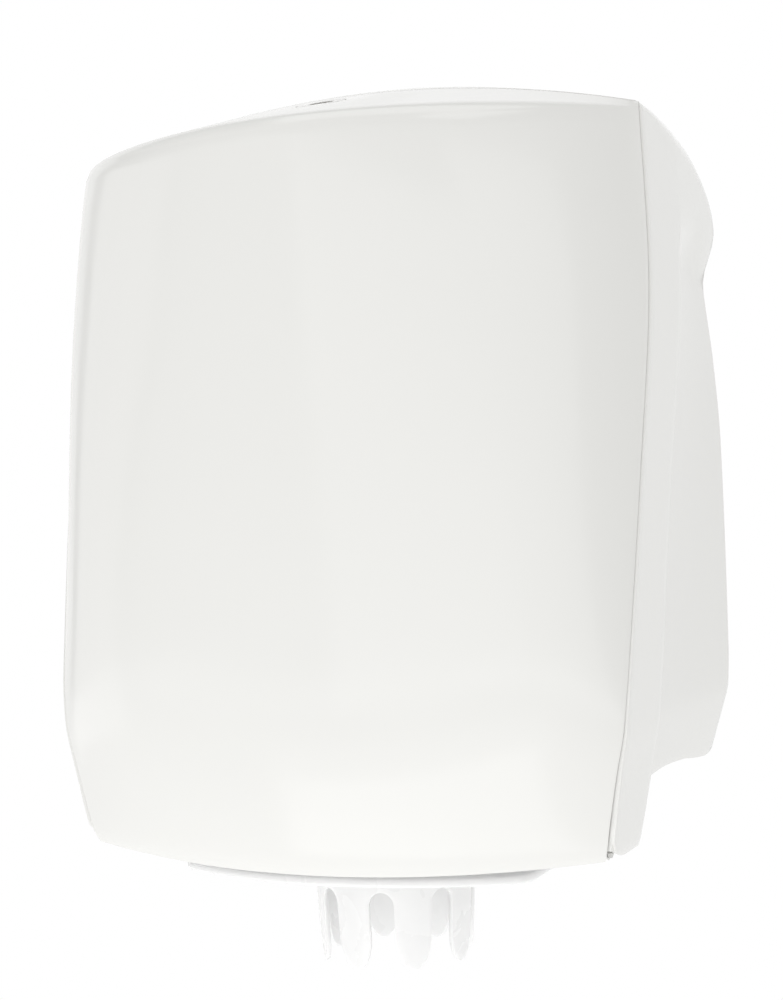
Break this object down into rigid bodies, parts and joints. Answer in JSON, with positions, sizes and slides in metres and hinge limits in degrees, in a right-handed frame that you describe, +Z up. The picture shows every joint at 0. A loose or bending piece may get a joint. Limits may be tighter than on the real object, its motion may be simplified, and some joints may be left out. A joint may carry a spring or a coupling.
{
  "type": "centrefeed roll dispenser",
  "caption": "Wall-mounted centrefeed roll dispenser with a bowed drop-down front cover, a scooped back housing, a key lock on top and a turning finger nozzle below.",
  "frame": {"origin": "middle of the flat back, on the wall plane", "axes": "+Z up, -Y out of the wall towards the user, +X to the right as the user sees it"},
  "size_m": [0.3038, 0.2175, 0.4319],
  "materials": {
    "shell": "glossy moulded ABS, very pale neutral white",
    "nozzle": "satin moulded polypropylene, white",
    "tray": "fine-grained moulded plastic, mid grey",
    "steel": "bright zinc-plated steel",
    "lock": "polished nickel plate"
  },
  "bodies": {
    "housing": {"back_housing": "shell", "roll_tray": "tray", "bottom_plate": "shell", "nozzle_ring": "tray", "hinge_pin_left": "steel", "hinge_pin_right": "steel", "hinge_washer_left": "steel", "hinge_washer_right": "steel", "catch_plate": "steel", "catch_screw_1": "steel", "catch_screw_2": "steel", "tray_screw_1": "steel", "plate_screw_1": "steel", "tray_screw_2": "steel", "plate_screw_2": "steel", "tray_screw_3": "steel", "plate_screw_3": "steel", "tray_screw_4": "steel", "plate_screw_4": "steel", "ring_screw_1": "steel", "ring_screw_2": "steel", "ring_screw_3": "steel"},
    "cover": {"front_cover": "shell", "lock_body": "lock", "lock_nut": "tray"},
    "lock": {"lock_plug": "lock", "lock_cam": "steel", "cam_screw": "steel"},
    "nozzle": {"nozzle": "nozzle"}
  },
  "joints": [
    {"name": "cover_hinge", "type": "hinge", "parent": "housing", "child": "cover", "pos_m": [0, -0.16736, -0.1645], "axis": [1, 0, 0], "range_deg": [0, 80]},
    {"name": "lock_turn", "type": "hinge", "parent": "cover", "child": "lock", "pos_m": [0, -0.15988, 0.18217], "axis": [0, 0.2807, -0.9598], "range_deg": [0, 90]},
    {"name": "nozzle_swivel", "type": "hinge", "parent": "housing", "child": "nozzle", "pos_m": [0, -0.11006, -0.178], "axis": [0, 0, 1], "continuous": true}
  ]
}
